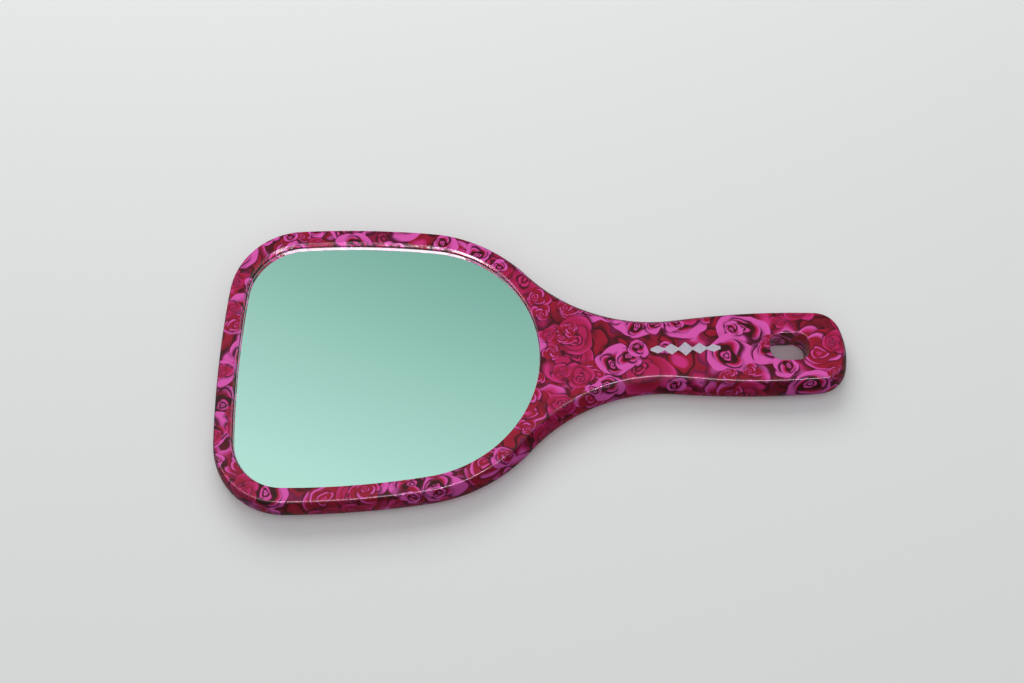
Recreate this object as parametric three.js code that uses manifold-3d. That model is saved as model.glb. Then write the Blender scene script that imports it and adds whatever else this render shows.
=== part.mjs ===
// Paddle-shaped hand mirror: a flat head with a recessed mirror, running into a waisted handle
// with a hanging slot near its end. The body is two moulded shells that meet low on the side
// wall. The glass is silvered on its underside and held in the recess by double-sided tape.
//
// Millimetres, +Z up. The mirror lies on its back: X runs from the head to the handle, the glass
// faces +Z, and the origin is under the middle of the object, on the surface it lies on.

import * as THREE from "three";
import { mergeVertices } from "three/addons/utils/BufferGeometryUtils.js";
import Module from "manifold-3d";

const wasm = await Module();
wasm.setup();

// ---------------------------------------------------------------- driving dimensions

const THICKNESS = 17;          // back face to front face
const WIDEST_Z = 6;            // height at which the side wall is widest
const PARTING_Z = 2.5;         // front frame and back cover meet here, under the widest line
const WALL = 2.25;             // moulded wall thickness
const CLEARANCE = 0.3;         // gap between pieces that slip into each other
const CHORD_ERROR = 0.15;      // how far a facet may stray from its true arc
const CORNER_STEPS = 6;        // facets in each corner of the slot
const OVERCUT = 1;             // how far a cutter runs past the face it opens
const ROOT = 1;                // how far a rib or a post is sunk into the wall it stands on

// Half of the body's widest outline, as tangent arcs from the middle of the head end, round the
// +Y side, to the middle of the handle end. A negative turn is a hollow curve. The last arc
// closes on the centre line, so it has no radius of its own.
const BODY_ARCS = [
  { radius: 590, turn: 4.34 },   // head end, slightly bowed
  { radius: 41, turn: 84.7 },    // head corner
  { radius: 520, turn: 8.4 },    // side of the head
  { radius: 86.5, turn: 39.9 },  // shoulder
  { radius: 94.4, turn: -53.1 }, // hollow of the neck
  { radius: 480, turn: 8.95 },   // side of the handle
  { radius: 15.8, turn: 71.4 },  // corner of the handle end
];

// Half of the mirror opening, in the same way, from the head end to the round end at the neck.
const BEZEL_AT_HEAD = 11.4;
const OPENING_ARCS = [
  { radius: 570, turn: 4.35 },
  { radius: 30.5, turn: 84 },
  { radius: 445, turn: 9.75 },
];

// The side wall leans in towards the front face, most at the neck. The lean changes gradually
// over two stretches along X.
const LEAN = { head: 3.2, neck: 5.7, handle: 4.1 };
const HEAD_TO_NECK = { from: -55, to: 50 };
const NECK_TO_HANDLE = { from: 60, to: 125 };
const LEAN_CURVE = 1.6;        // above 1, the wall bulges before it leans
const FRONT_EDGE = 0.6;        // small rounding of the front edge
const BACK_EDGE = 5;           // how far the back edge rounds in

// Levels at which the walls are drawn, closer together where they curve more.
const FRONT_WALL_LEVELS = [PARTING_Z, 4, WIDEST_Z, 9, 12, 14.5, THICKNESS - FRONT_EDGE];
const HOLLOW_LEVELS = [PARTING_Z - OVERCUT, PARTING_Z, WIDEST_Z, 11, THICKNESS - WALL];
const BACK_EDGE_LEVELS = [0, 0.4, 1.2, PARTING_Z];

const RECESS_DEPTH = 4.5;      // front face to the glass
const LIP = 0.5;               // small slope round the edge of the opening
const RECESS_FLOOR = 2;        // thickness of the floor under the glass
const GLASS = 3;
const SILVER = 0.125;
const BACKING = 0.125;
const TAPE = 1;
const GLASS_ARRIS = 0.25;      // ground edge of the glass
const GLASS_GAP = 0.2;
const LAYER_MARGIN = 0.5;      // silver and backing stop short of the glass edge

const TAPE_WIDTH = 14;
const TAPE_FIRST_X = -138;
const TAPE_PITCH = 36;
const TAPE_COUNT = 4;
const TAPE_END_MARGIN = 9;

const SLOT = { x: 138.5, length: 20.5, width: 15, corner: 6, rim: 1.5 };

const TONGUE = { thickness: 1.5, top: 4.5 };
const RIB = 1.6;
const POST_RADIUS = 3;
const SOCKET_RADIUS = 5;
const HEAD_SOCKET_DROP = 2.25;
const HANDLE_POST_TOP = 11.5;
const HANDLE_SOCKET_BOTTOM = 6;
const POST_SEGMENTS = 16;
const HEAD_POSTS = [
  [-145, 45], [-145, -45], [-85, 62], [-85, -62], [-25, 45], [-25, -45],
];
const HANDLE_POSTS = [[40, 0], [75, 0], [110, 0]];
const HEAD_CROSS_RIBS = [-125, -85, -45];
const HEAD_LONG_RIBS = [-35, 0, 35];
const HEAD_RIB_X = -85;
const HEAD_RIB_LENGTH = 130;
const RIB_END_MARGIN = 4;
const HANDLE_RIBS = [22, 57, 92];
const HANDLE_RIB_BOTTOM = 6;
const HANDLE_RIB_LENGTH = 60;  // runs past the wall on both sides, and is cut off by it
const GUSSET_COUNT = 12;
const GUSSET_REACH = 14;

const ORNAMENT = { x: 83.5, length: 37, height: 8, bar: 1.2, thickness: 0.125 };
const LOZENGES = 5;
const LOZENGE_SHRINK = 0.22;   // each lozenge is lower than the one nearer the middle

// Levels of the stack in the recess, from the glass down.
const GLASS_TOP = THICKNESS - RECESS_DEPTH;
const GLASS_BOTTOM = GLASS_TOP - GLASS;
const SILVER_BOTTOM = GLASS_BOTTOM - SILVER;
const BACKING_BOTTOM = SILVER_BOTTOM - BACKING;
const FLOOR_TOP = BACKING_BOTTOM - TAPE;
const FLOOR_BOTTOM = FLOOR_TOP - RECESS_FLOOR;
const ROOF_BOTTOM = THICKNESS - WALL;
const COVER_FLOOR_TOP = WALL;

// ---------------------------------------------------------------- outlines

// Samples of a closed outline, symmetric about the X axis, anticlockwise seen from +Z. Each one
// has its place and its outward normal, so any parallel outline is a short step along normals.
function symmetricOutline(arcs) {
  const half = [{ x: 0, y: 0, nx: -1, ny: 0 }];
  let x = 0;
  let y = 0;
  let heading = Math.PI / 2;
  const follow = (radius, turn) => {
    const side = Math.sign(turn);
    const centreX = x + side * radius * Math.sin(heading);
    const centreY = y - side * radius * Math.cos(heading);
    const largestStep = 2 * Math.acos(1 - CHORD_ERROR / radius);
    const steps = Math.ceil(Math.abs(turn) / largestStep);
    for (let step = 1; step <= steps; step++) {
      const direction = heading - (turn * step) / steps;
      const nx = -Math.sin(direction);
      const ny = Math.cos(direction);
      half.push({ x: centreX + side * radius * nx, y: centreY + side * radius * ny, nx, ny });
    }
    heading -= turn;
    ({ x, y } = half[half.length - 1]);
  };
  for (const arc of arcs) {
    follow(arc.radius, THREE.MathUtils.degToRad(arc.turn));
  }
  const remaining = heading + Math.PI / 2;
  follow(y / Math.sin(remaining), remaining);
  const end = half.pop();
  const otherHalf = half.slice(1).map((p) => ({ x: p.x, y: -p.y, nx: p.nx, ny: -p.ny }));
  return [half[0], ...otherHalf, { ...end, y: 0, ny: 0 }, ...half.slice(1).reverse()];
}

// A rectangle with round corners, centred on (x, 0), anticlockwise seen from +Z.
function roundedRectangle(x, length, width, corner) {
  const samples = [];
  for (let quarter = 0; quarter < 4; quarter++) {
    const signX = quarter === 0 || quarter === 3 ? 1 : -1;
    const signY = quarter < 2 ? 1 : -1;
    for (let step = 0; step <= CORNER_STEPS; step++) {
      const angle = ((quarter + step / CORNER_STEPS) * Math.PI) / 2;
      const nx = Math.cos(angle);
      const ny = Math.sin(angle);
      samples.push({
        x: x + signX * (length / 2 - corner) + corner * nx,
        y: signY * (width / 2 - corner) + corner * ny,
        nx,
        ny,
      });
    }
  }
  return samples;
}

// The outline moved inwards by a distance, or outwards by a negative one, at height z.
function ring(outline, z, inset) {
  return outline.map((p) => {
    const distance = typeof inset === "function" ? inset(p.x) : inset;
    return new THREE.Vector3(p.x - p.nx * distance, p.y - p.ny * distance, z);
  });
}

const shifted = (outline, dx) => outline.map((p) => ({ ...p, x: p.x + dx }));
const bodyFromHead = symmetricOutline(BODY_ARCS);
const HALF_LENGTH = Math.max(...bodyFromHead.map((p) => p.x)) / 2;
const bodyOutline = shifted(bodyFromHead, -HALF_LENGTH);
const openingOutline = shifted(symmetricOutline(OPENING_ARCS), BEZEL_AT_HEAD - HALF_LENGTH);
const slotOutline = roundedRectangle(SLOT.x, SLOT.length, SLOT.width, SLOT.corner);

// How far the front edge stands in from the widest line at a place along the body.
function frontLean(x) {
  const toNeck = THREE.MathUtils.smoothstep(x, HEAD_TO_NECK.from, HEAD_TO_NECK.to);
  const toHandle = THREE.MathUtils.smoothstep(x, NECK_TO_HANDLE.from, NECK_TO_HANDLE.to);
  return LEAN.head + (LEAN.neck - LEAN.head) * toNeck + (LEAN.handle - LEAN.neck) * toHandle;
}

// How far the side wall stands in from the widest line at height z.
function sideInset(z) {
  if (z < WIDEST_Z) {
    const drop = (WIDEST_Z - z) / WIDEST_Z;
    return () => BACK_EDGE * (1 - Math.sqrt(1 - drop * drop));
  }
  const rise = ((z - WIDEST_Z) / (THICKNESS - WIDEST_Z)) ** LEAN_CURVE;
  return (x) => frontLean(x) * rise;
}

// ---------------------------------------------------------------- solids

// A closed solid through a stack of rings with equal point counts, lowest ring first.
function loft(rings) {
  const count = rings[0].length;
  const positions = rings.flat().flatMap((p) => [p.x, p.y, p.z]);
  const index = [];
  for (let level = 0; level < rings.length - 1; level++) {
    for (let i = 0; i < count; i++) {
      const a = level * count + i;
      const b = level * count + ((i + 1) % count);
      index.push(a, b, b + count, a, b + count, a + count);
    }
  }
  const last = (rings.length - 1) * count;
  for (const [a, b, c] of THREE.ShapeUtils.triangulateShape(rings[0], [])) {
    index.push(a, c, b);
  }
  for (const [a, b, c] of THREE.ShapeUtils.triangulateShape(rings[rings.length - 1], [])) {
    index.push(last + a, last + b, last + c);
  }
  const geometry = new THREE.BufferGeometry();
  geometry.setAttribute("position", new THREE.Float32BufferAttribute(positions, 3));
  geometry.setIndex(index);
  return geometry;
}

function toManifold(geometry) {
  const bare = geometry.clone();
  bare.deleteAttribute("normal");
  bare.deleteAttribute("uv");
  const merged = mergeVertices(bare, 1e-5);
  return new wasm.Manifold(
    new wasm.Mesh({
      numProp: 3,
      vertProperties: new Float32Array(merged.attributes.position.array),
      triVerts: new Uint32Array(merged.index.array),
    }),
  );
}

function toGeometry(solid) {
  const result = solid.getMesh();
  const geometry = new THREE.BufferGeometry();
  geometry.setAttribute("position", new THREE.Float32BufferAttribute(result.vertProperties, 3));
  geometry.setIndex([...result.triVerts]);
  geometry.computeVertexNormals();
  return geometry;
}

const column = (outline, low, high, inset) =>
  toManifold(loft([ring(outline, low, inset), ring(outline, high, inset)]));

function box(x, y, lengthX, lengthY, low, high) {
  const geometry = new THREE.BoxGeometry(lengthX, lengthY, high - low);
  return toManifold(geometry.translate(x, y, (low + high) / 2));
}

function round(x, y, radius, low, high) {
  const geometry = new THREE.CylinderGeometry(radius, radius, high - low, POST_SEGMENTS);
  return toManifold(geometry.rotateX(Math.PI / 2).translate(x, y, (low + high) / 2));
}

const joined = (solids) => solids.reduce((sum, solid) => sum.add(solid));

// The hole of the slot through both shells, with rounded rims front and back.
function slotCutter() {
  const stops = [
    [-OVERCUT, -SLOT.rim - OVERCUT],
    [0, -SLOT.rim],
    [SLOT.rim, 0],
    [THICKNESS - SLOT.rim, 0],
    [THICKNESS, -SLOT.rim],
    [THICKNESS + OVERCUT, -SLOT.rim - OVERCUT],
  ];
  return toManifold(loft(stops.map(([z, inset]) => ring(slotOutline, z, inset))));
}

// Half width of an outline where it crosses a place along X.
function halfWidthAt(outline, x) {
  const upper = outline.filter((p) => p.y >= 0).sort((a, b) => a.x - b.x);
  const next = upper.findIndex((p) => p.x >= x);
  const [a, b] = [upper[next - 1], upper[next]];
  return a.y + ((b.y - a.y) * (x - a.x)) / (b.x - a.x);
}

// ---------------------------------------------------------------- front frame

function frontOuter() {
  const rings = FRONT_WALL_LEVELS.map((z) => ring(bodyOutline, z, sideInset(z)));
  rings.push(ring(bodyOutline, THICKNESS, (x) => frontLean(x) + FRONT_EDGE));
  return toManifold(loft(rings));
}

function frontHollow() {
  const rings = HOLLOW_LEVELS.map((z) => {
    const outer = sideInset(Math.max(z, PARTING_Z));
    return ring(bodyOutline, z, (x) => outer(x) + WALL);
  });
  return toManifold(loft(rings));
}

// The recess that holds the glass, with its sloped lip.
function recessCutter() {
  const stops = [
    [FLOOR_TOP, 0],
    [THICKNESS - LIP, 0],
    [THICKNESS, -LIP],
    [THICKNESS + OVERCUT, -LIP - OVERCUT],
  ];
  return toManifold(loft(stops.map(([z, inset]) => ring(openingOutline, z, inset))));
}

// Small upright webs between the recess wall and the side wall, spread round the opening.
function gussets() {
  const webs = [];
  for (let i = 0; i < GUSSET_COUNT; i++) {
    const sample = openingOutline[Math.floor(((i + 0.5) * openingOutline.length) / GUSSET_COUNT)];
    const height = ROOF_BOTTOM + ROOT - FLOOR_BOTTOM;
    const geometry = new THREE.BoxGeometry(GUSSET_REACH, RIB, height);
    geometry.translate(GUSSET_REACH / 2, 0, FLOOR_BOTTOM + height / 2);
    geometry.rotateZ(Math.atan2(sample.ny, sample.nx));
    webs.push(toManifold(geometry.translate(sample.x, sample.y, 0)));
  }
  return joined(webs);
}

function frontFrame() {
  const tray = column(openingOutline, FLOOR_BOTTOM, THICKNESS, -WALL);
  const collar = column(slotOutline, PARTING_Z, THICKNESS, -WALL);
  const ribs = HANDLE_RIBS.map((x) =>
    box(x, 0, RIB, HANDLE_RIB_LENGTH, HANDLE_RIB_BOTTOM, THICKNESS));
  const headSockets = HEAD_POSTS.map(([x, y]) =>
    round(x, y, SOCKET_RADIUS, FLOOR_BOTTOM - HEAD_SOCKET_DROP, FLOOR_BOTTOM + ROOT));
  const handleSockets = HANDLE_POSTS.map(([x, y]) =>
    round(x, y, SOCKET_RADIUS, HANDLE_SOCKET_BOTTOM, THICKNESS));
  const kept = joined([tray, collar, gussets(), ...ribs, ...headSockets, ...handleSockets]);
  const bore = POST_RADIUS + CLEARANCE;
  const handleBoreTop = HANDLE_POST_TOP + CLEARANCE;
  const bores = joined([
    ...HEAD_POSTS.map(([x, y]) => round(x, y, bore, 0, FLOOR_BOTTOM)),
    ...HANDLE_POSTS.map(([x, y]) => round(x, y, bore, 0, handleBoreTop)),
  ]);
  return frontOuter()
    .subtract(frontHollow().subtract(kept))
    .subtract(recessCutter())
    .subtract(bores)
    .subtract(slotCutter());
}

// ---------------------------------------------------------------- back cover

// A ring that slips inside the foot of the front frame's wall.
function tongue(inset) {
  const outside = column(bodyOutline, COVER_FLOOR_TOP, TONGUE.top, inset);
  const low = COVER_FLOOR_TOP - OVERCUT;
  const inside = column(bodyOutline, low, TONGUE.top + OVERCUT, inset + TONGUE.thickness);
  return outside.subtract(inside);
}

// Ribs under the recess floor, kept clear of the sockets that stand down from it.
function headRibs() {
  const low = COVER_FLOOR_TOP - ROOT;
  const across = HEAD_CROSS_RIBS.map((x) => {
    const reach = halfWidthAt(openingOutline, x) - RIB_END_MARGIN;
    return box(x, 0, RIB, 2 * reach, low, FLOOR_BOTTOM);
  });
  const along = HEAD_LONG_RIBS.map((y) => box(HEAD_RIB_X, y, HEAD_RIB_LENGTH, RIB, low, FLOOR_BOTTOM));
  const clearance = HEAD_POSTS.map(([x, y]) =>
    round(x, y, SOCKET_RADIUS + CLEARANCE, COVER_FLOOR_TOP, FLOOR_BOTTOM + OVERCUT));
  return joined([...across, ...along]).subtract(joined(clearance));
}

function backCover() {
  const shell = toManifold(loft(BACK_EDGE_LEVELS.map((z) => ring(bodyOutline, z, sideInset(z)))));
  const wallInset = sideInset(PARTING_Z)(0) + WALL;
  const pocket = column(bodyOutline, COVER_FLOOR_TOP, PARTING_Z + OVERCUT, wallInset);
  const low = COVER_FLOOR_TOP - ROOT;
  const collar = column(slotOutline, low, PARTING_Z, -WALL);
  const headPosts = HEAD_POSTS.map(([x, y]) => round(x, y, POST_RADIUS, low, FLOOR_BOTTOM));
  const handlePosts = HANDLE_POSTS.map(([x, y]) => round(x, y, POST_RADIUS, low, HANDLE_POST_TOP));
  return shell
    .subtract(pocket)
    .add(joined([tongue(wallInset + CLEARANCE), collar, headRibs(), ...headPosts, ...handlePosts]))
    .subtract(slotCutter());
}

// ---------------------------------------------------------------- mirror and its fixing

function mirrorGlass() {
  const stops = [
    [GLASS_BOTTOM, GLASS_GAP + GLASS_ARRIS],
    [GLASS_BOTTOM + GLASS_ARRIS, GLASS_GAP],
    [GLASS_TOP - GLASS_ARRIS, GLASS_GAP],
    [GLASS_TOP, GLASS_GAP + GLASS_ARRIS],
  ];
  return loft(stops.map(([z, inset]) => ring(openingOutline, z, inset)));
}

function layer(low, high) {
  const inset = GLASS_GAP + GLASS_ARRIS + LAYER_MARGIN;
  return loft([ring(openingOutline, low, inset), ring(openingOutline, high, inset)]);
}

function tapeStrip(x) {
  const reach = halfWidthAt(openingOutline, x) - TAPE_END_MARGIN;
  const geometry = new THREE.BoxGeometry(TAPE_WIDTH, 2 * reach, TAPE);
  return geometry.translate(x, 0, FLOOR_TOP + TAPE / 2);
}

// A row of lozenges strung on a narrow bar, stamped in foil on the front of the handle.
function ornament() {
  const pitch = ORNAMENT.length / LOZENGES;
  const bar = ORNAMENT.bar / 2;
  const upper = [];
  for (let i = 0; i < LOZENGES; i++) {
    const middle = ORNAMENT.length / 2 - (i + 0.5) * pitch;
    const fromMiddle = Math.abs(i - (LOZENGES - 1) / 2);
    const height = (ORNAMENT.height / 2) * (1 - LOZENGE_SHRINK * fromMiddle);
    upper.push([middle + pitch / 2, bar], [middle, height]);
  }
  upper.push([-ORNAMENT.length / 2, bar]);
  const lower = upper.map(([x, y]) => [x, -y]).reverse();
  const shape = new THREE.Shape([...upper, ...lower].map(([x, y]) => new THREE.Vector2(x, y)));
  const geometry = new THREE.ExtrudeGeometry(shape, { depth: ORNAMENT.thickness, bevelEnabled: false });
  return geometry.translate(ORNAMENT.x, 0, THICKNESS);
}

// ---------------------------------------------------------------- materials

const printedPlastic = new THREE.MeshStandardMaterial({ color: 0xb02a6a, roughness: 0.15, metalness: 0 });
const glass = new THREE.MeshStandardMaterial({ color: 0xb8dccf, roughness: 0.02, metalness: 0.9 });
const silver = new THREE.MeshStandardMaterial({ color: 0xd9dcde, roughness: 0.1, metalness: 1 });
const lacquer = new THREE.MeshStandardMaterial({ color: 0x6f7478, roughness: 0.6, metalness: 0 });
const foamTape = new THREE.MeshStandardMaterial({ color: 0xe6e4dc, roughness: 0.9, metalness: 0 });
const foil = new THREE.MeshStandardMaterial({ color: 0xcfcfd6, roughness: 0.3, metalness: 1 });

// ---------------------------------------------------------------- assembly

const mirror = new THREE.Group();

function addPiece(name, geometry, material) {
  const mesh = new THREE.Mesh(geometry, material);
  mesh.name = name;
  mirror.add(mesh);
}

addPiece("front_frame", toGeometry(frontFrame()), printedPlastic);
addPiece("back_cover", toGeometry(backCover()), printedPlastic);
addPiece("mirror_glass", mirrorGlass(), glass);
addPiece("silver_coating", layer(SILVER_BOTTOM, GLASS_BOTTOM), silver);
addPiece("protective_backing", layer(BACKING_BOTTOM, SILVER_BOTTOM), lacquer);
for (let i = 0; i < TAPE_COUNT; i++) {
  addPiece(`glass_tape_${i + 1}`, tapeStrip(TAPE_FIRST_X + i * TAPE_PITCH), foamTape);
}
addPiece("foil_ornament", ornament(), foil);

export default mirror;
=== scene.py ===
"""A paddle-shaped hand mirror with a glossy rose print, lying on its back on a pale floor.

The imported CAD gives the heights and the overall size. The shells, the glass and the layers
behind it are rebuilt here from the same tangent arcs, with fine edges. Everything is in metres,
in the CAD frame.
"""

import math

import bmesh
import bpy
from mathutils import Matrix, Vector
from mathutils.geometry import tessellate_polygon


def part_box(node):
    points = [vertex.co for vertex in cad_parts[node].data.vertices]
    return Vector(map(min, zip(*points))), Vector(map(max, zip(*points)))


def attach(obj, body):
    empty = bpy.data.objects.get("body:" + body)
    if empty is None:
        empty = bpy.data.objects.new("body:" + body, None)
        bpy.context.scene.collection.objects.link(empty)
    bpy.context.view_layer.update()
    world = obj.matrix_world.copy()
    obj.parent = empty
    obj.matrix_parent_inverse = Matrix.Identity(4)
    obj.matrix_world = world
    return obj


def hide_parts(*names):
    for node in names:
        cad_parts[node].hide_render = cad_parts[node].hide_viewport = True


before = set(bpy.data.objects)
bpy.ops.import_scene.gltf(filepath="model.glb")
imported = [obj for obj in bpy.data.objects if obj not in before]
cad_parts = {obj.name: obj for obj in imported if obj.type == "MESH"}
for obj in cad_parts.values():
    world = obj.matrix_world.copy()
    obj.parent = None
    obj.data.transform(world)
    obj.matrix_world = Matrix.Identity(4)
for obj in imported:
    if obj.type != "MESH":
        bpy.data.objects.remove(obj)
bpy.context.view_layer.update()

MM = 0.001

# ---------------------------------------------------------------- sizes

FRONT_LOW, FRONT_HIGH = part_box("front_frame")
GLASS_LOW, GLASS_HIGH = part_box("mirror_glass")
HEAD_END_X = FRONT_LOW.x
FRONT_Z = FRONT_HIGH.z
PARTING_Z = FRONT_LOW.z
RECESS_FLOOR_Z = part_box("glass_tape_1")[0].z

# Half outlines as tangent arcs (radius in mm, turn in degrees) from the head end to the handle
# end. A negative turn is a hollow curve, and one last arc closes each outline on the centre line.
BODY_ARCS = [
    (590, 4.34), (41, 84.7), (520, 8.4), (86.5, 39.9), (94.4, -53.1), (480, 8.95), (15.8, 71.4),
]
OPENING_ARCS = [(570, 4.35), (30.5, 84), (445, 9.75)]
BEZEL_AT_HEAD = 11.4 * MM
CHORD_ERROR = 0.006 * MM

WALL = 2.25 * MM
CLEARANCE = 0.3 * MM
WIDEST_Z = 6 * MM
LEAN_HEAD, LEAN_NECK, LEAN_HANDLE = 3.2 * MM, 5.7 * MM, 4.1 * MM
HEAD_TO_NECK = (-55 * MM, 50 * MM)
NECK_TO_HANDLE = (60 * MM, 125 * MM)
LEAN_CURVE = 1.6
FRONT_EDGE = 1.2 * MM
BACK_EDGE = 5 * MM
SEAM_BREAK = 0.15 * MM
GUARD = 0.3 * MM  # narrow flat strip beside each rounded edge, which keeps its shading clean

LIP = 0.5 * MM
RECESS_FLOOR = 2 * MM
GLASS_GAP = 0.2 * MM
GLASS_ARRIS = 0.25 * MM
LAYER_MARGIN = 0.5 * MM
LAYER_ARRIS = 0.02 * MM
TAPE_CORNER = 1.2 * MM
TAPE_BULGE = 0.3 * MM

SLOT_X = 138.5 * MM
SLOT_LENGTH, SLOT_WIDTH, SLOT_CORNER = 20.5 * MM, 15 * MM, 6 * MM
SLOT_RIM = 1.5 * MM

TONGUE_THICKNESS = 1.5 * MM
TONGUE_TOP_Z = 4.5 * MM

WALL_STEPS = 14
STEPS_OVER_ROOF = 3  # the inside of the front's wall leaves these out, next to its roof
EDGE_STEPS = 8
CORNER_STEPS = 16
SHARP_ANGLE = math.radians(35)

# ---------------------------------------------------------------- outlines


def arc_points(start, heading, radius, turn):
    """Samples along one arc as (point, outward normal), without its start, and the new heading."""
    side = math.copysign(1, turn)
    centre = start + side * radius * Vector((math.sin(heading), -math.cos(heading)))
    steps = math.ceil(abs(turn) / (2 * math.acos(1 - CHORD_ERROR / radius)))
    samples = []
    for step in range(1, steps + 1):
        direction = heading - turn * step / steps
        normal = Vector((-math.sin(direction), math.cos(direction)))
        samples.append((centre + side * radius * normal, normal))
    return samples, heading - turn


def symmetric_outline(start_x, arcs):
    """A closed outline as (point, outward normal) pairs, anticlockwise seen from +Z."""
    heading = math.pi / 2
    half = [(Vector((start_x, 0)), Vector((-1, 0)))]
    for radius, turn in arcs:
        samples, heading = arc_points(half[-1][0], heading, radius * MM, math.radians(turn))
        half += samples
    remaining = heading + math.pi / 2
    closing_radius = half[-1][0].y / math.sin(remaining)
    half += arc_points(half[-1][0], heading, closing_radius, remaining)[0]
    end = Vector((half.pop()[0].x, 0))
    other_half = [(Vector((p.x, -p.y)), Vector((n.x, -n.y))) for p, n in half[1:]]
    return [half[0], *other_half, (end, Vector((1, 0))), *reversed(half[1:])]


def rounded_rectangle(x, length, width, corner):
    """A closed outline centred on (x, 0), anticlockwise seen from +Z."""
    outline = []
    for quarter, (sign_x, sign_y) in enumerate([(1, 1), (-1, 1), (-1, -1), (1, -1)]):
        middle = Vector((x + sign_x * (length / 2 - corner), sign_y * (width / 2 - corner)))
        for step in range(CORNER_STEPS + 1):
            angle = (quarter + step / CORNER_STEPS) * math.pi / 2
            normal = Vector((math.cos(angle), math.sin(angle)))
            outline.append((middle + corner * normal, normal))
    return outline


def smooth(low, high, x):
    """0 up to low, 1 from high on, and a smooth change between them."""
    t = min(1, max(0, (x - low) / (high - low)))
    return t * t * (3 - 2 * t)


def lean(x):
    """How far the front edge stands in from the widest line at a place along the body."""
    to_neck = smooth(*HEAD_TO_NECK, x)
    to_handle = smooth(*NECK_TO_HANDLE, x)
    return LEAN_HEAD + (LEAN_NECK - LEAN_HEAD) * to_neck + (LEAN_HANDLE - LEAN_NECK) * to_handle


def wall_inset(x, z):
    """How far the side wall stands in from the widest line, at a place along X and a height."""
    if z < WIDEST_Z:
        drop = (WIDEST_Z - z) / WIDEST_Z
        return BACK_EDGE * (1 - math.sqrt(1 - drop * drop))
    return lean(x) * ((z - WIDEST_Z) / (FRONT_Z - WIDEST_Z)) ** LEAN_CURVE


BODY = symmetric_outline(HEAD_END_X, BODY_ARCS)
OPENING = symmetric_outline(HEAD_END_X + BEZEL_AT_HEAD, OPENING_ARCS)
SLOT = rounded_rectangle(SLOT_X, SLOT_LENGTH, SLOT_WIDTH, SLOT_CORNER)
SEAM_INSET = wall_inset(0, PARTING_Z)
ROOF_Z = FRONT_Z - WALL

# ---------------------------------------------------------------- mesh building


class Shell:
    """Collects a closed mesh. Each vertex also keeps its place on the flat print film that was
    wrapped over the piece, so that the print runs on round the edges."""

    def __init__(self):
        self.points = []
        self.film = []
        self.faces = []
        self.materials = []

    def skin(self, outline, profile, outward=1, material=0):
        """Rings of an outline, one for each station of the profile. The profile gives stations
        (inset, height) for a place along X, and the film is laid from the first one on, outwards
        or inwards. Returns the first and the last ring as lists of vertex numbers."""
        columns = [profile(point.x) for point, _ in outline]
        travelled = [0.0] * len(outline)
        rings = []
        for step in range(len(columns[0])):
            ring = []
            for i, (point, normal) in enumerate(outline):
                inset, z = columns[i][step]
                if step:
                    travelled[i] += math.dist(columns[i][step], columns[i][step - 1])
                place = point - normal * inset
                film = point + normal * (outward * travelled[i] - columns[i][0][0])
                ring.append(len(self.points))
                self.points.append((place.x, place.y, z))
                self.film.append((film.x, film.y, 0))
            rings.append(ring)
        for above, below in zip(rings, rings[1:]):
            for i in range(len(outline)):
                j = (i + 1) % len(outline)
                self.faces.append((below[i], below[j], above[j], above[i]))
                self.materials.append(material)
        return rings[0], rings[-1]

    def flat(self, *loops):
        """Fills the level area inside the first loop and outside the others."""
        order = [v for loop in loops for v in loop]
        for triangle in tessellate_polygon([[Vector(self.points[v]) for v in loop] for loop in loops]):
            self.faces.append(tuple(order[k] for k in triangle))
            self.materials.append(0)

    def finish(self, name, *materials):
        """Makes the piece, with smooth shading between its sharp edges."""
        mesh = bpy.data.meshes.new(name)
        mesh.from_pydata(self.points, [], self.faces)
        mesh.polygons.foreach_set("material_index", self.materials)
        film = mesh.attributes.new("film", "FLOAT_VECTOR", "POINT")
        film.data.foreach_set("vector", [c for f in self.film for c in f])
        work = bmesh.new()
        work.from_mesh(mesh)
        bmesh.ops.recalc_face_normals(work, faces=work.faces)
        work.to_mesh(mesh)
        work.free()
        mesh.shade_smooth()
        mesh.set_sharp_from_angle(angle=SHARP_ANGLE)
        piece = bpy.data.objects.new(name, mesh)
        for material in materials:
            mesh.materials.append(material)
        bpy.context.scene.collection.objects.link(piece)
        return piece


def rounding(start, control, end):
    """Stations of a smooth curve between two stations, bent towards a third."""
    stations = []
    for step in range(EDGE_STEPS + 1):
        t = step / EDGE_STEPS
        weights = ((1 - t) ** 2, 2 * t * (1 - t), t * t)
        parts = [[w * part for part in s] for w, s in zip(weights, (start, control, end))]
        stations.append(tuple(map(sum, zip(*parts))))
    return stations


def constant(*stations):
    """A profile that is the same all along X."""
    return lambda x: list(stations)


def front_wall(x):
    """From the flat front over its edge, down the side wall, under its foot and up inside."""
    top = FRONT_Z - FRONT_EDGE
    edge = rounding((lean(x) + FRONT_EDGE, FRONT_Z), (lean(x), FRONT_Z), (wall_inset(x, top), top))
    foot = PARTING_Z + SEAM_BREAK
    heights = [top + (foot - top) * step / WALL_STEPS for step in range(1, WALL_STEPS + 1)]
    outside = [(wall_inset(x, z), z) for z in heights]
    inside = [(wall_inset(x, z) + WALL, z) for z in [PARTING_Z, *reversed(heights[STEPS_OVER_ROOF:])]]
    return [
        (lean(x) + FRONT_EDGE + GUARD, FRONT_Z),
        *edge,
        *outside,
        (SEAM_INSET + SEAM_BREAK, PARTING_Z),
        *inside,
        (wall_inset(x, ROOF_Z) + WALL, ROOF_Z),
    ]


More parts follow.
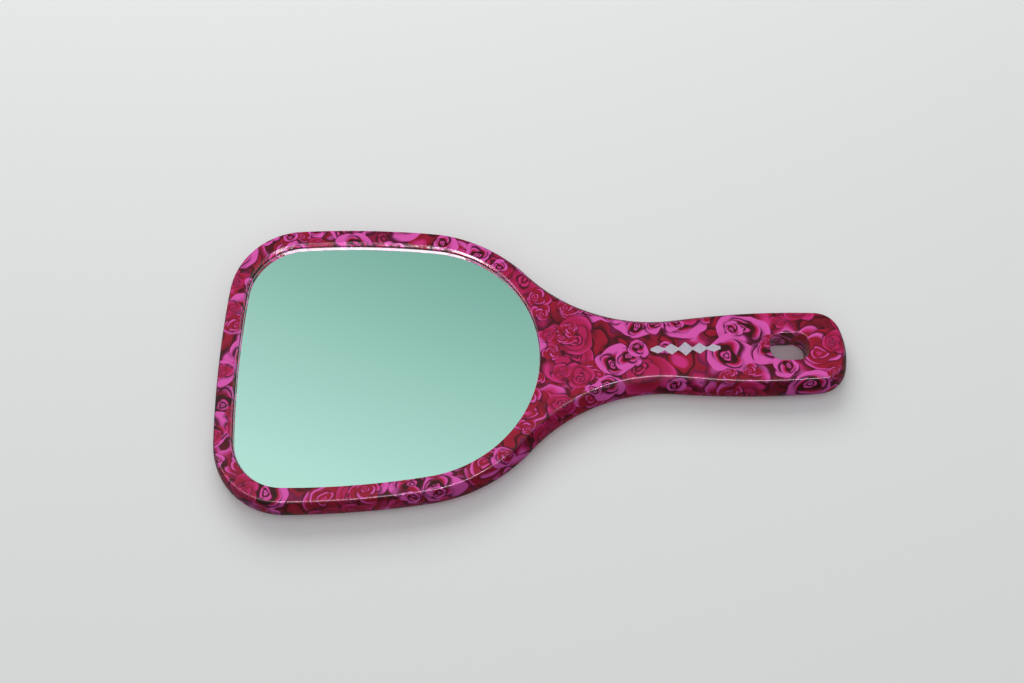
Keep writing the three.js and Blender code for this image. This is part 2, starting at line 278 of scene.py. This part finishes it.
def cover_wall(x):
    """From the flat back round its edge to the seam, down inside, and over the tongue."""
    turn = math.acos(1 - (PARTING_Z - SEAM_BREAK) / WIDEST_Z)
    angles = [turn * step / WALL_STEPS for step in range(WALL_STEPS + 1)]
    inner = SEAM_INSET + WALL
    tongue = inner + CLEARANCE
    return [
        (BACK_EDGE + GUARD, 0),
        *[(BACK_EDGE * (1 - math.sin(a)), WIDEST_Z * (1 - math.cos(a))) for a in angles],
        (SEAM_INSET + SEAM_BREAK, PARTING_Z),
        (inner, PARTING_Z),
        (inner, WALL),
        (tongue, WALL),
        (tongue, TONGUE_TOP_Z),
        (tongue + TONGUE_THICKNESS, TONGUE_TOP_Z),
        (tongue + TONGUE_THICKNESS, WALL),
    ]


def build_front(print_film):
    """The front with its wall, the recess for the glass and the front half of the slot's collar."""
    shell = Shell()
    face_edge, wall_roof = shell.skin(BODY, front_wall)
    lip = rounding((-LIP, FRONT_Z), (0, FRONT_Z), (0, FRONT_Z - LIP))
    recess = constant((-LIP - GUARD, FRONT_Z), *lip, (0, RECESS_FLOOR_Z))
    face_opening, recess_floor = shell.skin(OPENING, recess, outward=-1)
    tray = constant((-WALL, ROOF_Z), (-WALL, RECESS_FLOOR_Z - RECESS_FLOOR))
    tray_roof, tray_bottom = shell.skin(OPENING, tray)
    rim = rounding((-SLOT_RIM, FRONT_Z), (0, FRONT_Z), (0, FRONT_Z - SLOT_RIM))
    collar = constant(
        (-SLOT_RIM - GUARD, FRONT_Z), *rim, (0, PARTING_Z), (-WALL, PARTING_Z), (-WALL, ROOF_Z)
    )
    face_slot, collar_roof = shell.skin(SLOT, collar, outward=-1)
    shell.flat(face_edge, face_opening, face_slot)
    shell.flat(wall_roof, tray_roof, collar_roof)
    shell.flat(recess_floor)
    shell.flat(tray_bottom)
    return shell.finish("front_shell", print_film)


def build_cover(print_film):
    """The back with its tongue and the back half of the slot's collar."""
    shell = Shell()
    back_edge, floor_edge = shell.skin(BODY, cover_wall)
    rim = rounding((-SLOT_RIM, 0), (0, 0), (0, SLOT_RIM))
    collar = constant((-SLOT_RIM - GUARD, 0), *rim, (0, PARTING_Z), (-WALL, PARTING_Z), (-WALL, WALL))
    back_slot, floor_slot = shell.skin(SLOT, collar, outward=-1)
    shell.flat(back_edge, back_slot)
    shell.flat(floor_edge, floor_slot)
    return shell.finish("back_shell", print_film)


def build_plate(name, low, high, inset, arris, face, edge):
    """A plate in the shape of the opening with ground corners: the glass, or a layer behind it."""
    shell = Shell()
    stations = constant(
        (inset + arris + GUARD, high),
        (inset + arris, high),
        (inset, high - arris),
        (inset, low + arris),
        (inset + arris, low),
        (inset + arris + GUARD, low),
    )
    top, bottom = shell.skin(OPENING, stations, material=1)
    shell.flat(top)
    shell.flat(bottom)
    return shell.finish(name, face, edge)


def build_tape(name, node, foam):
    """A strip of foam tape, squeezed so that its sides bulge."""
    low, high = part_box(node)
    length, width = high.x - low.x, high.y - low.y
    outline = rounded_rectangle((low.x + high.x) / 2, length, width, TAPE_CORNER)
    middle = (low.z + high.z) / 2
    side = rounding((TAPE_BULGE, high.z), (-TAPE_BULGE, middle), (TAPE_BULGE, low.z))
    inner = TAPE_BULGE + GUARD
    shell = Shell()
    top, bottom = shell.skin(outline, constant((inner, high.z), *side, (inner, low.z)))
    shell.flat(top)
    shell.flat(bottom)
    return shell.finish(name, foam)


# ---------------------------------------------------------------- node helpers


class Nodes:
    """Short names for adding shader nodes to one tree. Values may be numbers or sockets."""

    def __init__(self, tree):
        self.tree = tree

    def node(self, kind, values=None, **settings):
        made = self.tree.nodes.new("ShaderNode" + kind)
        for name, value in settings.items():
            setattr(made, name, value)
        self.fill(made, values or {})
        return made

    def fill(self, node, values):
        """Sets or links several inputs of a node, by name or number."""
        for key, value in values.items():
            self.feed(value, node.inputs[key])

    def feed(self, value, socket):
        """Links a socket to an input, or sets the input to a plain value."""
        if isinstance(value, bpy.types.NodeSocket):
            self.tree.links.new(value, socket)
        else:
            socket.default_value = value

    def math(self, operation, a, b=0.0, c=0.0):
        return self.node("Math", {0: a, 1: b, 2: c}, operation=operation).outputs[0]

    def vector(self, operation, a, b=(0, 0, 0)):
        made = self.node("VectorMath", {0: a}, operation=operation)
        self.feed(b, made.inputs["Scale" if operation == "SCALE" else 1])
        return made.outputs["Value" if operation in ("LENGTH", "DOT_PRODUCT") else "Vector"]

    def spread(self, value, from_low, from_high, to_low, to_high):
        values = {0: value, 1: from_low, 2: from_high, 3: to_low, 4: to_high}
        return self.node("MapRange", values).outputs[0]

    def mix(self, factor, a, b):
        """A mix of two colours. A Mix node's colours are its inputs 6 and 7 and its output 2."""
        made = self.node("Mix", data_type="RGBA")
        self.feed(factor, made.inputs["Factor"])
        self.feed(a, made.inputs[6])
        self.feed(b, made.inputs[7])
        return made.outputs[2]

    def ramp(self, factor, *stops):
        """A colour ramp through (position, colour) stops."""
        made = self.node("ValToRGB", {"Fac": factor})
        elements = made.color_ramp.elements
        elements.remove(elements[1])
        elements[0].position, elements[0].color = stops[0]
        for position, colour in stops[1:]:
            elements.new(position).color = colour
        return made.outputs["Color"]

    def between(self, value, low, high, shades):
        """The darker shade at a low value, the lighter one at a high value, and a mix between."""
        darker, lighter = shades
        return self.ramp(value, (low, darker), (high, lighter))

    def noise(self, place, scale, detail=2.0, output="Fac"):
        values = {"Vector": place, "Scale": scale, "Detail": detail}
        return self.node("TexNoise", values).outputs[output]

    def bump(self, height, strength, distance, normal=None):
        """A bumped surface normal, on top of another one if it is given."""
        values = {"Height": height, "Strength": strength, "Distance": distance}
        if normal is not None:
            values["Normal"] = normal
        return self.node("Bump", values).outputs[0]


def new_material(name):
    """A material, its nodes and its shader."""
    material = bpy.data.materials.new(name)
    material.use_nodes = True
    nodes = Nodes(material.node_tree)
    return material, nodes, material.node_tree.nodes["Principled BSDF"]


def object_place(nodes):
    """The place on the object, in metres."""
    return nodes.node("TexCoord").outputs["Object"]


# ---------------------------------------------------------------- rose print

BURGUNDY = (0.045, 0.001, 0.006, 1)
WINE = (0.120, 0.002, 0.014, 1)
PLUM = (0.150, 0.004, 0.050, 1)
CRIMSON = (0.330, 0.004, 0.030, 1)
RASPBERRY = (0.460, 0.010, 0.095, 1)
HOT_PINK = (0.620, 0.026, 0.200, 1)
ORCHID = (0.720, 0.090, 0.420, 1)

# Petal bands from the heart of a rose (0) to its rim (1), for three kinds of rose. Each petal
# is dark where it comes out from under the next one and light at its rim.
DARK_HEARTED = [
    (0.00, WINE), (0.05, ORCHID), (0.09, ORCHID), (0.11, BURGUNDY), (0.16, WINE), (0.20, ORCHID),
    (0.26, HOT_PINK), (0.28, BURGUNDY), (0.44, BURGUNDY), (0.50, CRIMSON), (0.55, HOT_PINK),
    (0.60, ORCHID), (0.62, BURGUNDY), (0.66, PLUM), (0.70, ORCHID), (0.93, ORCHID), (0.96, PLUM),
    (1.00, BURGUNDY),
]
HOT_HEARTED = [
    (0.00, HOT_PINK), (0.10, RASPBERRY), (0.12, BURGUNDY), (0.17, WINE), (0.20, RASPBERRY),
    (0.28, HOT_PINK), (0.30, BURGUNDY), (0.34, WINE), (0.40, RASPBERRY), (0.58, RASPBERRY),
    (0.61, PLUM), (0.66, CRIMSON), (0.84, RASPBERRY), (0.93, HOT_PINK), (0.97, WINE),
    (1.00, BURGUNDY),
]
LINED = [
    (0.00, RASPBERRY), (0.08, HOT_PINK), (0.12, CRIMSON), (0.24, CRIMSON), (0.28, ORCHID),
    (0.31, HOT_PINK), (0.34, WINE), (0.40, CRIMSON), (0.58, CRIMSON), (0.62, ORCHID),
    (0.66, ORCHID), (0.68, WINE), (0.74, CRIMSON), (0.88, CRIMSON), (0.92, HOT_PINK),
    (0.96, ORCHID), (0.98, WINE),
]
HOT_FROM, LINED_FROM = 0.38, 0.72  # a chance below the first makes a dark-hearted rose

# What shows between the roses, by the height of a swirling noise.
GROUND = [
    (0.30, HOT_PINK), (0.36, CRIMSON), (0.42, CRIMSON), (0.44, BURGUNDY), (0.47, WINE),
    (0.51, CRIMSON), (0.53, PLUM), (0.60, RASPBERRY), (0.66, ORCHID), (0.68, WINE),
]

SMALLEST_ROSE, LARGEST_ROSE = 3.2, 2.3  # width of a cell over the radius of its rose
ROSE_JITTER = 0.35  # how far roses stray from an even grid
HEART_DRIFT = 0.45  # how far a heart is off the middle of its rose, in radii
PETALS = 3.0
PETAL_TWIST = 2.3  # how far petals turn from the heart to the rim, in petals
PETAL_END = 0.9  # band over distance where a petal ends
PETAL_TUCK = 0.26  # how much more it is where a petal starts, tucked in under the next one
FOLD_SHADE, FOLD_REACH = 0.5, 0.3  # the shade where a petal starts, and its share of the petal
SHADOW_SHADE, SHADOW_REACH = 0.6, 1.18  # the shade under a rose, and how far out it goes, in radii

# Scatters from the lowest to the topmost: cell size in mm, turn in degrees, share of cells used.
ROSE_SCATTERS = [(42, 20, 1.0), (35, 75, 0.85), (28, 130, 0.6), (20, 200, 0.5), (13.5, 255, 0.35)]
FIRST_SHIFT = 7.61  # shifts are in cells
SHIFT_X, SHIFT_Y = 3.7, 5.3  # from each scatter to the next
FLATTENING = 1.12  # roses are a little shorter across the mirror than along it
WOBBLE = 5 * MM


def scatter_cell(nodes, place):
    """The cell around a place: three random numbers, and the way from the cell's own point."""
    cell = nodes.node(
        "TexVoronoi",
        {"Vector": place, "Scale": 1.0, "Randomness": ROSE_JITTER},
        voronoi_dimensions="2D",
    )
    chance = nodes.node("SeparateColor", {0: cell.outputs["Color"]}).outputs
    return chance, nodes.vector("SUBTRACT", place, cell.outputs["Position"])


def petal_shape(nodes, chance, away):
    """The band of a rose, 0 at its heart and 1 at its rim, and the place along a petal, 0 to 1.
    The bands are nested off centre, and each petal starts tucked in under the next one."""
    scaled = nodes.vector("SCALE", away, nodes.spread(chance[0], 0, 1, SMALLEST_ROSE, LARGEST_ROSE))
    distance = nodes.vector("LENGTH", scaled)
    angle = nodes.math("MULTIPLY", chance[1], 2 * math.pi)
    side = nodes.node("CombineXYZ", {0: nodes.math("COSINE", angle), 1: nodes.math("SINE", angle)})
    drift = nodes.math("MULTIPLY_ADD", distance, -HEART_DRIFT, HEART_DRIFT)
    petal_place = nodes.vector("SUBTRACT", scaled, nodes.vector("SCALE", side.outputs[0], drift))
    nested = nodes.vector("LENGTH", petal_place)
    parts = nodes.node("SeparateXYZ", {0: petal_place}).outputs
    turns = nodes.math("DIVIDE", nodes.math("ARCTAN2", parts[1], parts[0]), 2 * math.pi)
    twist = nodes.math("MULTIPLY_ADD", nested, PETAL_TWIST, chance[2])
    petal = nodes.math("FRACT", nodes.math("MULTIPLY_ADD", turns, PETALS, twist))
    rest = nodes.math("SUBTRACT", 1.0, petal)
    tuck = nodes.math("MULTIPLY_ADD", nodes.math("MULTIPLY", rest, rest), PETAL_TUCK, PETAL_END)
    return nodes.math("MULTIPLY", nested, tuck), petal


def petal_colour(nodes, chance, band, petal):
    """The colour of one of the three kinds of rose, darker in the folds between petals."""
    kind = nodes.math("FRACT", nodes.math("MULTIPLY", chance[2], 7.0))
    dark = nodes.ramp(band, *DARK_HEARTED)
    hot = nodes.ramp(band, *HOT_HEARTED)
    lined = nodes.ramp(band, *LINED)
    colour = nodes.mix(nodes.math("GREATER_THAN", kind, HOT_FROM), dark, hot)
    colour = nodes.mix(nodes.math("GREATER_THAN", kind, LINED_FROM), colour, lined)
    return nodes.mix(nodes.spread(petal, 0.0, FOLD_REACH, FOLD_SHADE, 0.0), colour, WINE)


def rose_layer_group():
    """One scatter of roses over a base colour, each with a soft shadow round it."""
    tree = bpy.data.node_groups.new("rose_layer", "ShaderNodeTree")
    tree.interface.new_socket("Place", in_out="INPUT", socket_type="NodeSocketVector")
    tree.interface.new_socket("Base", in_out="INPUT", socket_type="NodeSocketColor")
    tree.interface.new_socket("Share", in_out="INPUT", socket_type="NodeSocketFloat")
    tree.interface.new_socket("Colour", in_out="OUTPUT", socket_type="NodeSocketColor")
    nodes = Nodes(tree)
    given = tree.nodes.new("NodeGroupInput").outputs
    chance, away = scatter_cell(nodes, given["Place"])
    band, petal = petal_shape(nodes, chance, away)
    rose = petal_colour(nodes, chance, band, petal)
    inside = nodes.math("LESS_THAN", band, 1.0)
    lot = nodes.math("FRACT", nodes.math("MULTIPLY", chance[1], 5.0))
    kept = nodes.math("LESS_THAN", lot, given["Share"])
    shade = nodes.spread(band, 1.0, SHADOW_REACH, SHADOW_SHADE, 0.0)
    ground = nodes.mix(nodes.math("MULTIPLY", shade, kept), given["Base"], BURGUNDY)
    colour = nodes.mix(nodes.math("MULTIPLY", inside, kept), ground, rose)
    nodes.feed(colour, tree.nodes.new("NodeGroupOutput").inputs["Colour"])
    return tree


def rose_colour(nodes):
    """The whole printed pattern, laid out on the film."""
    film = nodes.node("Attribute", attribute_name="film").outputs["Vector"]
    wobble = nodes.noise(film, scale=90, detail=1, output="Color")
    centred = nodes.vector("SUBTRACT", wobble, (0.5, 0.5, 0.5))
    drawn = nodes.vector("ADD", film, nodes.vector("SCALE", centred, WOBBLE))
    colour = nodes.ramp(nodes.noise(drawn, scale=60, detail=1), *GROUND)
    group = rose_layer_group()
    for number, (size, turn, share) in enumerate(ROSE_SCATTERS):
        scale = 1 / (size * MM)
        values = {
            "Vector": drawn,
            "Location": (FIRST_SHIFT + SHIFT_X * number, SHIFT_Y * number, 0),
            "Rotation": (0, 0, math.radians(turn)),
            "Scale": (scale, FLATTENING * scale, 1),
        }
        place = nodes.node("Mapping", values).outputs[0]
        layer = nodes.node("Group", node_tree=group)
        nodes.fill(layer, {"Place": place, "Base": colour, "Share": share})
        colour = layer.outputs["Colour"]
    return colour


def print_material():
    """Rose-printed film under a thick clear coat, slightly wavy all over and rippled on walls."""
    material, nodes, shader = new_material("rose_print")
    place = object_place(nodes)
    waves = nodes.noise(place, scale=260, detail=3)
    surface = nodes.bump(waves, strength=0.5, distance=0.05 * MM)
    upright = nodes.node("SeparateXYZ", {0: nodes.node("NewGeometry").outputs["Normal"]}).outputs[2]
    on_wall = nodes.spread(nodes.math("ABSOLUTE", upright), 0.1, 0.3, 1, 0)
    ripples = nodes.noise(nodes.vector("MULTIPLY", place, (1, 1, 0.35)), scale=380, detail=3)
    surface = nodes.bump(ripples, strength=on_wall, distance=0.3 * MM, normal=surface)
    nodes.fill(shader, {
        "Base Color": rose_colour(nodes),
        "Roughness": nodes.spread(waves, 0.3, 0.7, 0.28, 0.4),
        "Specular IOR Level": 0.0,
        "Normal": surface,
        "Coat Weight": 1.0,
        "Coat Roughness": 0.04,
        "Coat IOR": 1.38,
        "Coat Normal": surface,
    })
    return material


# ---------------------------------------------------------------- other materials

# A darker and a lighter shade of each.
DUST, SILVERED_GLASS = (0.35, 0.42, 0.38, 1), (0.93, 0.97, 0.95, 1)
GROUND_GLASS = (0.42, 0.62, 0.56, 1), (0.62, 0.78, 0.72, 1)
SILVER = (0.80, 0.80, 0.81, 1), (0.93, 0.93, 0.93, 1)
LACQUER = (0.13, 0.15, 0.16, 1), (0.18, 0.20, 0.21, 1)
FOAM = (0.62, 0.60, 0.54, 1), (0.80, 0.79, 0.74, 1)
FOIL = (0.50, 0.41, 0.50, 1), (0.72, 0.60, 0.72, 1)

DUST_CELLS = 45.0
DUST_SIZE = 0.012


def mirror_material():
    """Silvered glass with a faint green cast and a few specks of dust."""
    material, nodes, shader = new_material("silvered_glass")
    place = object_place(nodes)
    dust = nodes.node("TexVoronoi", {"Vector": place, "Scale": DUST_CELLS}, voronoi_dimensions="3D")
    speck = nodes.math("LESS_THAN", dust.outputs["Distance"], DUST_SIZE)
    smears = nodes.noise(place, scale=14, detail=4)
    nodes.fill(shader, {
        "Base Color": nodes.mix(speck, SILVERED_GLASS, DUST),
        "Roughness": nodes.spread(smears, 0.45, 0.75, 0.008, 0.03),
        "Metallic": 1.0,
    })
    return material


def glass_edge_material():
    """The ground edge of the glass, pale green and satin."""
    material, nodes, shader = new_material("ground_glass_edge")
    grain = nodes.noise(object_place(nodes), scale=2500)
    nodes.fill(shader, {
        "Base Color": nodes.between(grain, 0.3, 0.7, GROUND_GLASS),
        "Normal": nodes.bump(grain, strength=0.4, distance=0.02 * MM),
        "Roughness": 0.3,
    })
    return material


def silver_material():
    """The silver layer, clouded a little."""
    material, nodes, shader = new_material("silver_coating")
    cloud = nodes.noise(object_place(nodes), scale=30, detail=5)
    nodes.fill(shader, {
        "Base Color": nodes.between(cloud, 0.3, 0.7, SILVER),
        "Roughness": nodes.spread(cloud, 0.3, 0.7, 0.08, 0.2),
        "Metallic": 1.0,
    })
    return material


def lacquer_material():
    """Grey paint that keeps the silver from tarnishing, with roller texture."""
    material, nodes, shader = new_material("grey_lacquer")
    place = object_place(nodes)
    roller = nodes.noise(place, scale=900, detail=3)
    cloud = nodes.noise(place, scale=25, detail=4)
    nodes.fill(shader, {
        "Base Color": nodes.between(cloud, 0.3, 0.7, LACQUER),
        "Normal": nodes.bump(roller, strength=0.5, distance=0.03 * MM),
        "Roughness": nodes.spread(roller, 0.3, 0.7, 0.5, 0.7),
    })
    return material


def foam_material():
    """White closed-cell foam of double-sided tape."""
    material, nodes, shader = new_material("foam_tape")
    values = {"Vector": object_place(nodes), "Scale": 2600.0}
    cells = nodes.node("TexVoronoi", values).outputs["Distance"]
    nodes.fill(shader, {
        "Base Color": nodes.between(cells, 0.0, 0.6, FOAM),
        "Normal": nodes.bump(cells, strength=0.7, distance=0.1 * MM),
        "Roughness": 0.9,
    })
    return material


def foil_material():
    """Stamped silver foil, slightly grained."""
    material, nodes, shader = new_material("stamped_foil")
    grain = nodes.noise(object_place(nodes), scale=1800, detail=3)
    nodes.fill(shader, {
        "Base Color": nodes.between(grain, 0.35, 0.65, FOIL),
        "Normal": nodes.bump(grain, strength=0.4, distance=0.02 * MM),
        "Roughness": nodes.spread(grain, 0.3, 0.7, 0.28, 0.45),
        "Metallic": 0.35,
    })
    return material


# ---------------------------------------------------------------- studio

CAMERA_TARGET = Vector((-0.0094, 0.0148, 0))
CAMERA_DISTANCE = 0.596
CAMERA_AZIMUTH, CAMERA_ELEVATION, CAMERA_ROLL = map(math.radians, (5.29, 65.38, -6.4))
SENSOR_WIDTH, LENS = 36.0, 37.8

FLOOR_HALF = 4.0
FLOOR_COLOUR = (0.78, 0.79, 0.78, 1)
BACKDROP_COLOUR = (0.60, 0.61, 0.60, 1)
BELOW_HORIZON = (0.08, 0.12, 0.10, 1)

# Light on dull surfaces, from straight below (0) to straight above (1).
DULL_LIGHT = [
    (0.0, (0.70, 0.70, 0.70, 1)),
    (0.3, (0.05, 0.05, 0.05, 1)),
    (0.45, (0.05, 0.05, 0.05, 1)),
    (0.55, (0.20, 0.20, 0.21, 1)),
    (1.0, (0.85, 0.86, 0.87, 1)),
]

# What glossy surfaces see above the horizon, from the far side (0) to the bright side (1).
BRIGHT_SIDE = (-0.29, -0.957, 0)
GREEN_STUDIO = [
    (0.20, (0.10, 0.26, 0.21, 1)),
    (0.275, (0.195, 0.42, 0.35, 1)),
    (0.39, (0.47, 0.77, 0.69, 1)),
    (0.60, (0.80, 0.92, 0.88, 1)),
]

LILAC = (1.0, 0.86, 0.97)
PINK = (1.0, 0.64, 0.94)


def add_camera():
    """A camera that looks at its target from a distance, turned a little about its own axis."""
    data = bpy.data.cameras.new("camera")
    data.sensor_width = SENSOR_WIDTH
    data.lens = LENS
    camera = bpy.data.objects.new("camera", data)
    bpy.context.scene.collection.objects.link(camera)
    level = math.cos(CAMERA_ELEVATION)
    back = Vector((
        math.sin(CAMERA_AZIMUTH) * level, -math.cos(CAMERA_AZIMUTH) * level, math.sin(CAMERA_ELEVATION)
    ))
    right = Vector((math.cos(CAMERA_AZIMUTH), math.sin(CAMERA_AZIMUTH), 0))
    upright = Matrix((right, back.cross(right), back)).transposed().to_4x4()
    roll = Matrix.Rotation(CAMERA_ROLL, 4, "Z")
    place = Matrix.Translation(CAMERA_TARGET + back * CAMERA_DISTANCE)
    camera.matrix_world = place @ upright @ roll
    bpy.context.scene.camera = camera


def floor_material():
    """Dull and pale from above, clear from below."""
    material, nodes, shader = new_material("pale_floor")
    nodes.fill(shader, {"Base Color": FLOOR_COLOUR, "Roughness": 0.8, "Specular IOR Level": 0.0})
    clear = nodes.node("BsdfTransparent").outputs[0]
    below = nodes.node("NewGeometry").outputs["Backfacing"]
    one_sided = nodes.node("MixShader", {0: below, 1: shader.outputs[0], 2: clear})
    nodes.fill(material.node_tree.nodes["Material Output"], {"Surface": one_sided.outputs[0]})
    return material


def add_floor():
    """A plain floor that neither tints nor lights the object."""
    half = FLOOR_HALF
    mesh = bpy.data.meshes.new("floor")
    corners = [(-half, -half, 0), (half, -half, 0), (half, half, 0), (-half, half, 0)]
    mesh.from_pydata(corners, [], [(0, 1, 2, 3)])
    mesh.materials.append(floor_material())
    floor = bpy.data.objects.new("floor", mesh)
    bpy.context.scene.collection.objects.link(floor)
    floor.visible_diffuse = False
    floor.visible_glossy = False


def add_lamp(name, place, length, width, power, colour=(1, 1, 1), reflected=True):
    """A rectangular lamp aimed at the middle of the object, and never seen directly. One kind is
    there only for its reflection, the other only for its light on dull surfaces."""
    data = bpy.data.lights.new(name, "AREA")
    data.shape = "RECTANGLE"
    data.size = length
    data.size_y = width
    data.energy = power
    data.color = colour
    lamp = bpy.data.objects.new(name, data)
    bpy.context.scene.collection.objects.link(lamp)
    lamp.location = place
    lamp.rotation_mode = "QUATERNION"
    lamp.rotation_quaternion = (-Vector(place)).to_track_quat("-Z", "Y")
    lamp.visible_camera = False
    lamp.visible_diffuse = not reflected
    lamp.visible_glossy = reflected


def add_world():
    """Dull surfaces get even light, most from overhead. Glossy ones see a pale green studio that
    is brightest on about the side that the mirror is first seen from. The backdrop is plain."""
    world = bpy.data.worlds.new("studio")
    bpy.context.scene.world = world
    world.use_nodes = True
    nodes = Nodes(world.node_tree)
    direction = nodes.node("TexCoord").outputs["Generated"]
    height = nodes.node("SeparateXYZ", {0: direction}).outputs[2]
    dull = nodes.ramp(nodes.spread(height, -1, 1, 0, 1), *DULL_LIGHT)
    nearness = nodes.vector("DOT_PRODUCT", direction, BRIGHT_SIDE)
    studio = nodes.ramp(nodes.spread(nearness, -1, 1, 0, 1), *GREEN_STUDIO)
    glossy = nodes.mix(nodes.spread(height, -0.05, 0.2, 0, 1), BELOW_HORIZON, studio)
    ray = nodes.node("LightPath").outputs
    shown = nodes.mix(ray["Is Camera Ray"], dull, BACKDROP_COLOUR)
    seen = nodes.mix(ray["Is Glossy Ray"], shown, glossy)
    nodes.fill(world.node_tree.nodes["Background"], {"Color": seen, "Strength": 1.0})


def add_lights():
    """A window that lights dull surfaces, and two tubes that glossy ones show as highlights."""
    add_lamp("window", place=(-0.2, 1.1, 1.0), length=1.2, width=0.8, power=11, reflected=False)
    add_lamp("tube", place=(-0.2, -0.46, 1.05), length=3.2, width=0.2, power=24, colour=LILAC)
    add_lamp("short_tube", place=(0.05, -0.77, 0.855), length=1.0, width=0.1, power=14, colour=PINK)


# ---------------------------------------------------------------- assembly


def settle(piece, node):
    """Puts a piece on the only body, in the place of its CAD node, and hides that node."""
    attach(piece, "root")
    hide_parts(node)


def layer_of(node, material):
    """A thin layer behind the glass, at the height of its CAD node."""
    low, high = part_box(node)
    inset = GLASS_GAP + GLASS_ARRIS + LAYER_MARGIN
    return build_plate(node + "_sheet", low.z, high.z, inset, LAYER_ARRIS, material, material)


bpy.context.scene.view_settings.view_transform = "Standard"
add_camera()
add_floor()
add_world()
add_lights()

rose_print = print_material()
settle(build_front(rose_print), "front_frame")
settle(build_cover(rose_print), "back_cover")
glass = build_plate(
    "silvered_mirror", GLASS_LOW.z, GLASS_HIGH.z, GLASS_GAP, GLASS_ARRIS,
    mirror_material(), glass_edge_material(),
)
settle(glass, "mirror_glass")
settle(layer_of("silver_coating", silver_material()), "silver_coating")
settle(layer_of("protective_backing", lacquer_material()), "protective_backing")

foam = foam_material()
for node in sorted(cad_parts):
    if node.startswith("glass_tape_"):
        tape = build_tape(node + "_strip", node, foam)
        settle(tape, node)

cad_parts["foil_ornament"].data.materials[0] = foil_material()
